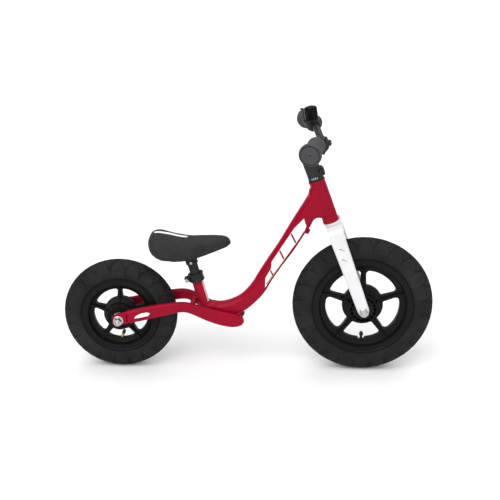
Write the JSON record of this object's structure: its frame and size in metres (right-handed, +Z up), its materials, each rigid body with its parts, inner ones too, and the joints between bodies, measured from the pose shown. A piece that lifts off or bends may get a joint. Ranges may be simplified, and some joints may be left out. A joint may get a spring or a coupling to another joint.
{
  "type": "balance bike",
  "caption": "Child's pedal-less balance bike with a curved step-through frame, moulded spoked wheels, pneumatic tyres, padded saddle, turning fork and a handlebar bell.",
  "frame": {"origin": "on the ground, midway between the front and rear limits of the tyres, in the mid-plane", "axes": "+X forwards (direction of travel), +Y to the rider's left, +Z up"},
  "size_m": [0.8252, 0.3388, 0.5842],
  "materials": {
    "frame_red": "gloss crimson paint",
    "fork_white": "gloss white paint",
    "tyre_rubber": "matt moulded rubber with a block tread",
    "tube_rubber": "smooth butyl rubber",
    "rim_plastic": "satin moulded nylon",
    "grip_rubber": "matt textured rubber",
    "saddle_foam": "matt integral-skin foam",
    "black_plastic": "satin moulded plastic",
    "dark_alloy": "satin dark grey anodised",
    "dark_steel": "satin black powder coat",
    "black_fastener": "blackened steel",
    "bell_black": "gloss black lacquer",
    "zinc_steel": "bright zinc plate",
    "valve_rubber": "black rubber covered stem",
    "valve_brass": "dull machined brass"
  },
  "bodies": {
    "frame": {"head_tube": "frame_red", "main_tube": "frame_red", "seat_tube": "frame_red", "stay_left": "frame_red", "stay_right": "frame_red", "stay_bridge": "frame_red", "dropout_left": "frame_red", "dropout_right": "frame_red", "accessory_boss": "frame_red", "headset_bearing_upper": "zinc_steel", "headset_bearing_lower": "zinc_steel", "seat_collar": "dark_steel", "seat_collar_bolt": "zinc_steel", "rear_axle": "zinc_steel", "rear_axle_nut_left": "zinc_steel", "rear_axle_nut_right": "zinc_steel"},
    "steering": {"headset_cap": "black_plastic", "fork_steerer": "zinc_steel", "fork_crown": "fork_white", "fork_blade_left": "fork_white", "fork_blade_right": "fork_white", "front_axle": "zinc_steel", "front_axle_nut_left": "zinc_steel", "front_axle_nut_right": "zinc_steel", "stem": "dark_alloy", "stem_cap": "black_plastic", "stem_pinch_bolt": "black_fastener", "stem_faceplate": "dark_alloy", "faceplate_bolt_1": "black_fastener", "faceplate_bolt_2": "black_fastener", "faceplate_bolt_3": "black_fastener", "faceplate_bolt_4": "black_fastener"},
    "handlebar": {"handlebar": "dark_steel", "grip_left": "grip_rubber", "grip_right": "grip_rubber", "bell_base": "black_plastic", "bell_dome": "bell_black", "bell_screw": "zinc_steel"},
    "bell_striker": {"bell_striker": "black_plastic"},
    "front_wheel": {"front_wheel": "rim_plastic", "front_bearing_left": "zinc_steel", "front_bearing_right": "zinc_steel", "front_tyre": "tyre_rubber", "front_inner_tube": "tube_rubber", "front_valve": "valve_rubber", "front_valve_cap": "black_plastic"},
    "rear_wheel": {"rear_wheel": "rim_plastic", "rear_bearing_left": "zinc_steel", "rear_bearing_right": "zinc_steel", "rear_tyre": "tyre_rubber", "rear_inner_tube": "tube_rubber", "rear_valve": "valve_brass", "rear_valve_cap": "black_plastic"},
    "seat": {"seatpost": "dark_steel", "saddle_bracket": "black_plastic", "saddle_cross_bolt": "zinc_steel", "saddle_pan": "black_plastic", "saddle_pad": "saddle_foam"}
  },
  "joints": [
    {"name": "steering", "type": "hinge", "parent": "frame", "child": "steering", "pos_m": [0.148, 0, 0.443], "axis": [-0.3437, 0, 0.9391], "continuous": true},
    {"name": "handlebar_tilt", "type": "hinge", "parent": "steering", "child": "handlebar", "pos_m": [0.157, 0, 0.522], "axis": [0, 1, 0], "range_deg": [-20, 20]},
    {"name": "bell_striker", "type": "hinge", "parent": "handlebar", "child": "bell_striker", "pos_m": [0.12208, 0.081, 0.55132], "axis": [0, -1, 0], "range_deg": [0, 30], "stiffness_Nm_per_rad": 0.02, "springref_deg": -22.92},
    {"name": "front_wheel_spin", "type": "hinge", "parent": "steering", "child": "front_wheel", "pos_m": [0.2566, 0, 0.15599], "axis": [0, 1, 0], "continuous": true},
    {"name": "rear_wheel_spin", "type": "hinge", "parent": "frame", "child": "rear_wheel", "pos_m": [-0.2851, 0, 0.1275], "axis": [0, 1, 0], "continuous": true},
    {"name": "seatpost_height", "type": "slide", "parent": "frame", "child": "seat", "axis": [-0.2588, 0, 0.9659], "range_m": [-0.022, 0.045]}
  ]
}
